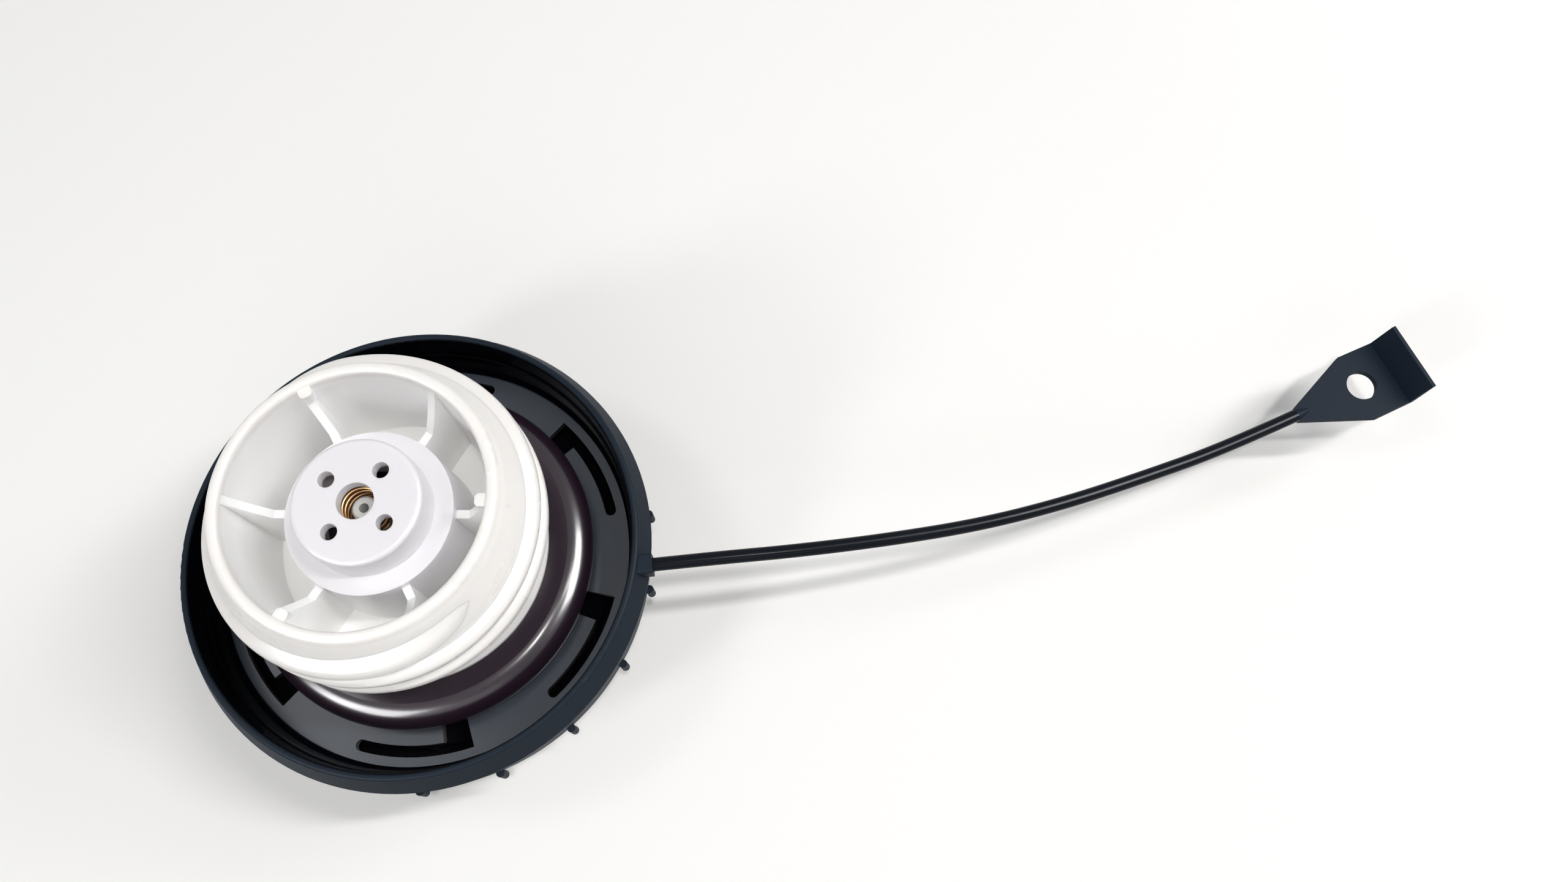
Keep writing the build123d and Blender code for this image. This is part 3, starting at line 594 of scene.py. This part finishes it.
# %% Valve and spring finishes
VALVE_WHITE = (0.52, 0.53, 0.52)
STEEL = (0.45, 0.45, 0.44)
BRONZE = (0.34, 0.19, 0.09)
pale_valve = finish_of("pale_valve", VALVE_WHITE, 0.45, bump=0.04)
spring_steel = finish_of("spring_steel", STEEL, 0.35, Metallic=1.0)
bronze_wire = finish_of("bronze_wire", BRONZE, 0.38, Metallic=0.8)

# %% [markdown]
# ### Who wears what
# The solid parts keep their meshes and only get a finish in their slot, as the new pieces do.

# %% Give each piece its finish
def wear(piece, material):
    """Give a piece one finish."""
    piece.data.materials.clear()
    piece.data.materials.append(material)


for node, material in (
        ("closer", white_plastic), ("inner_cover", white_plastic), ("pressure_valve", pale_valve),
        ("vacuum_valve", pale_valve), ("valve_seal", seal_rubber), ("gasket", gasket_rubber),
        ("torque_plate", dark_plate), ("cover", cover_black), ("tether_ring", cover_black),
        ("tether_tab", tab_black)):
    wear(nodes[node], material)
for ridge in threads:
    wear(ridge, white_plastic)
wear(pressure_coil, spring_steel)
wear(vacuum_coil, bronze_wire)
wear(strap, strap_black)
print("finished", len(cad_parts), "solid parts,", len(threads), "ridges, 2 coils and the strap")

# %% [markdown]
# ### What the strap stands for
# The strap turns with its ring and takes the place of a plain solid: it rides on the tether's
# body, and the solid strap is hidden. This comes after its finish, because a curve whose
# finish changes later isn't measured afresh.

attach(strap, "tether")
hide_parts("tether_cord")
print("strap declared, %.1f mm thick" % (STRAP_D / MM))

# %% [markdown]
# ## Table
# The table is white and bright, with faint soft shadows. More lamps would bleach the plug, so
# the table's own shader adds a glow that only the camera, mirrors and glass see. It is slight
# under the cap, where shadows fall, and grows to plain white further out.

# %% Table
TABLE_SIZE = 4
TABLE_WHITE = (0.90, 0.895, 0.885, 1)
GLOW_WHITE = (1.0, 1.0, 0.99, 1)
GLOW_FROM = 0.17
GLOW_FULL = 0.70
GLOW_NEAR = 0.02
PLAIN_WHITE = 1.0


def background_rays(tree):
    """Be 1 for rays from the camera, a mirror or glass, and 0 for rays that light a surface."""
    rays = tree.nodes.new("ShaderNodeLightPath")
    seen = rays.outputs["Is Camera Ray"]
    for kind in ("Is Glossy Ray", "Is Transmission Ray"):
        either = tree.nodes.new("ShaderNodeMath")
        either.operation = "MAXIMUM"
        tree.links.new(seen, either.inputs[0])
        tree.links.new(rays.outputs[kind], either.inputs[1])
        seen = either.outputs["Value"]
    return seen


choose()
bpy.ops.mesh.primitive_plane_add(size=TABLE_SIZE, location=(0, 0, 0))
table = bpy.context.object
table.name = "table"

table_finish = bpy.data.materials.new("table_white")
table_finish.use_nodes = True
tree = table_finish.node_tree
tree.nodes.clear()
output = tree.nodes.new("ShaderNodeOutputMaterial")
paper = tree.nodes.new("ShaderNodeBsdfDiffuse")
paper.inputs["Color"].default_value = TABLE_WHITE
glow = tree.nodes.new("ShaderNodeEmission")
glow.inputs["Color"].default_value = GLOW_WHITE
both = tree.nodes.new("ShaderNodeAddShader")
growing = step_at(tree, reach_of(tree), GLOW_FROM, GLOW_FULL, GLOW_NEAR, PLAIN_WHITE)
tree.links.new(product_of(tree, background_rays(tree), growing), glow.inputs["Strength"])
tree.links.new(paper.outputs["BSDF"], both.inputs[0])
tree.links.new(glow.outputs["Emission"], both.inputs[1])
tree.links.new(both.outputs["Shader"], output.inputs["Surface"])
wear(table, table_finish)
print("table %.0f m square" % TABLE_SIZE)

# %% [markdown]
# ## Lamps
# A small key lamp above gives the crisp shadow, and a long strip to the right models the plug.
# Two windows, a lamp above the left and a weak one in front fill in. The two cards are seen by
# reflections alone: they lay the broad streaks on the rubber ring and give no plain light.

# %% Lamps
def soft_lamp(name, place, width, height, radiance, colour=(1, 1, 1)):
    """Hang an oblong lamp that faces the cap, with its brightness set for each square metre."""
    choose()
    place = Vector(place)
    bpy.ops.object.light_add(type="AREA", location=place)
    lamp = bpy.context.object
    lamp.name = name
    lamp.rotation_euler = place.to_track_quat("Z", "Y").to_euler()
    lamp.data.shape = "RECTANGLE"
    lamp.data.size = width
    lamp.data.size_y = height
    lamp.data.energy = radiance * pi * width * height
    lamp.data.color = colour
    print("lamp:", name)
    return lamp


WARM = (1, 0.985, 0.96)
WARMISH = (1, 0.99, 0.975)
NEUTRAL = (1, 0.99, 0.98)
COOL = (0.97, 0.985, 1)
soft_lamp("key_lamp", (0.19, -0.10, 0.90), 0.05, 0.05, 305, WARM)
soft_lamp("side_strip", (0.54, 0.11, 0.87), 0.045, 0.40, 68, WARMISH)
soft_lamp("window_right", (0.80, 0.36, 0.66), 0.34, 0.34, 5.5, COOL)
soft_lamp("window_left", (-0.52, -0.56, 0.62), 0.14, 0.26, 15.0, COOL)
soft_lamp("lamp_above_left", (-0.42, 0.02, 0.92), 0.20, 0.20, 7.0, COOL)
soft_lamp("front_fill", (0.05, -0.80, 0.70), 0.90, 0.40, 1.0, NEUTRAL)
cards = [
    soft_lamp("card_left", (-0.44, -0.63, 0.64), 0.60, 0.46, 22),
    soft_lamp("card_right", (0.75, 0.16, 0.64), 0.50, 0.46, 40),
]
for card in cards:
    card.visible_diffuse = False

# %% [markdown]
# ## The room
# The room gives a little even light. Seen directly, or in a mirror or glass, it is plain white,
# so the background beyond the table is white too.

# %% Room
ROOM_LIGHT = 0.13
world = bpy.data.worlds.new("room")
bpy.context.scene.world = world
world.use_nodes = True
tree = world.node_tree
room = tree.nodes["Background"]
room.inputs["Color"].default_value = (1, 1, 1, 1)
strength = step_at(tree, background_rays(tree), 0, 1, ROOM_LIGHT, PLAIN_WHITE)
tree.links.new(strength, room.inputs["Strength"])
print("room light", ROOM_LIGHT)

# %% [markdown]
# ## Last settings
# The Standard view shows colours as they are written.

# %% View
bpy.context.scene.view_settings.view_transform = "Standard"
